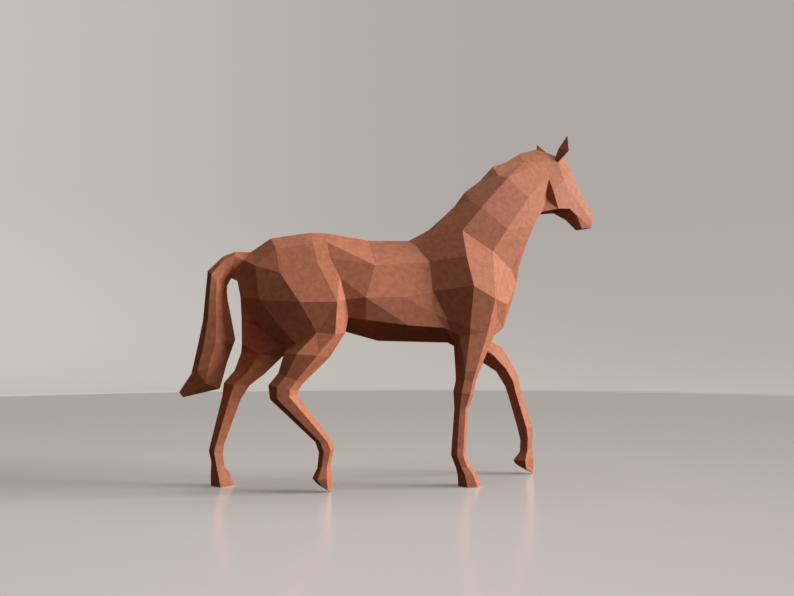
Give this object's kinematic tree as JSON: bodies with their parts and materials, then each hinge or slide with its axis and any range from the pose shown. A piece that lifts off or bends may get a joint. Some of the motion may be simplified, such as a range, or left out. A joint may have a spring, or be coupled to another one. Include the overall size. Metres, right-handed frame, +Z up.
{
  "type": "geometric horse sculpture",
  "caption": "Faceted walking horse sculpture of folded matte card, standing on its own hooves.",
  "frame": {"origin": "on the floor, at the middle of the horse's length and width", "axes": "+X is the way the horse walks, +Y is the horse's left, +Z is up"},
  "size_m": [0.603, 0.1202, 0.5],
  "materials": {
    "card": "matte, finely mottled"
  },
  "bodies": {
    "root": {"horse": "card"}
  },
  "joints": []
}
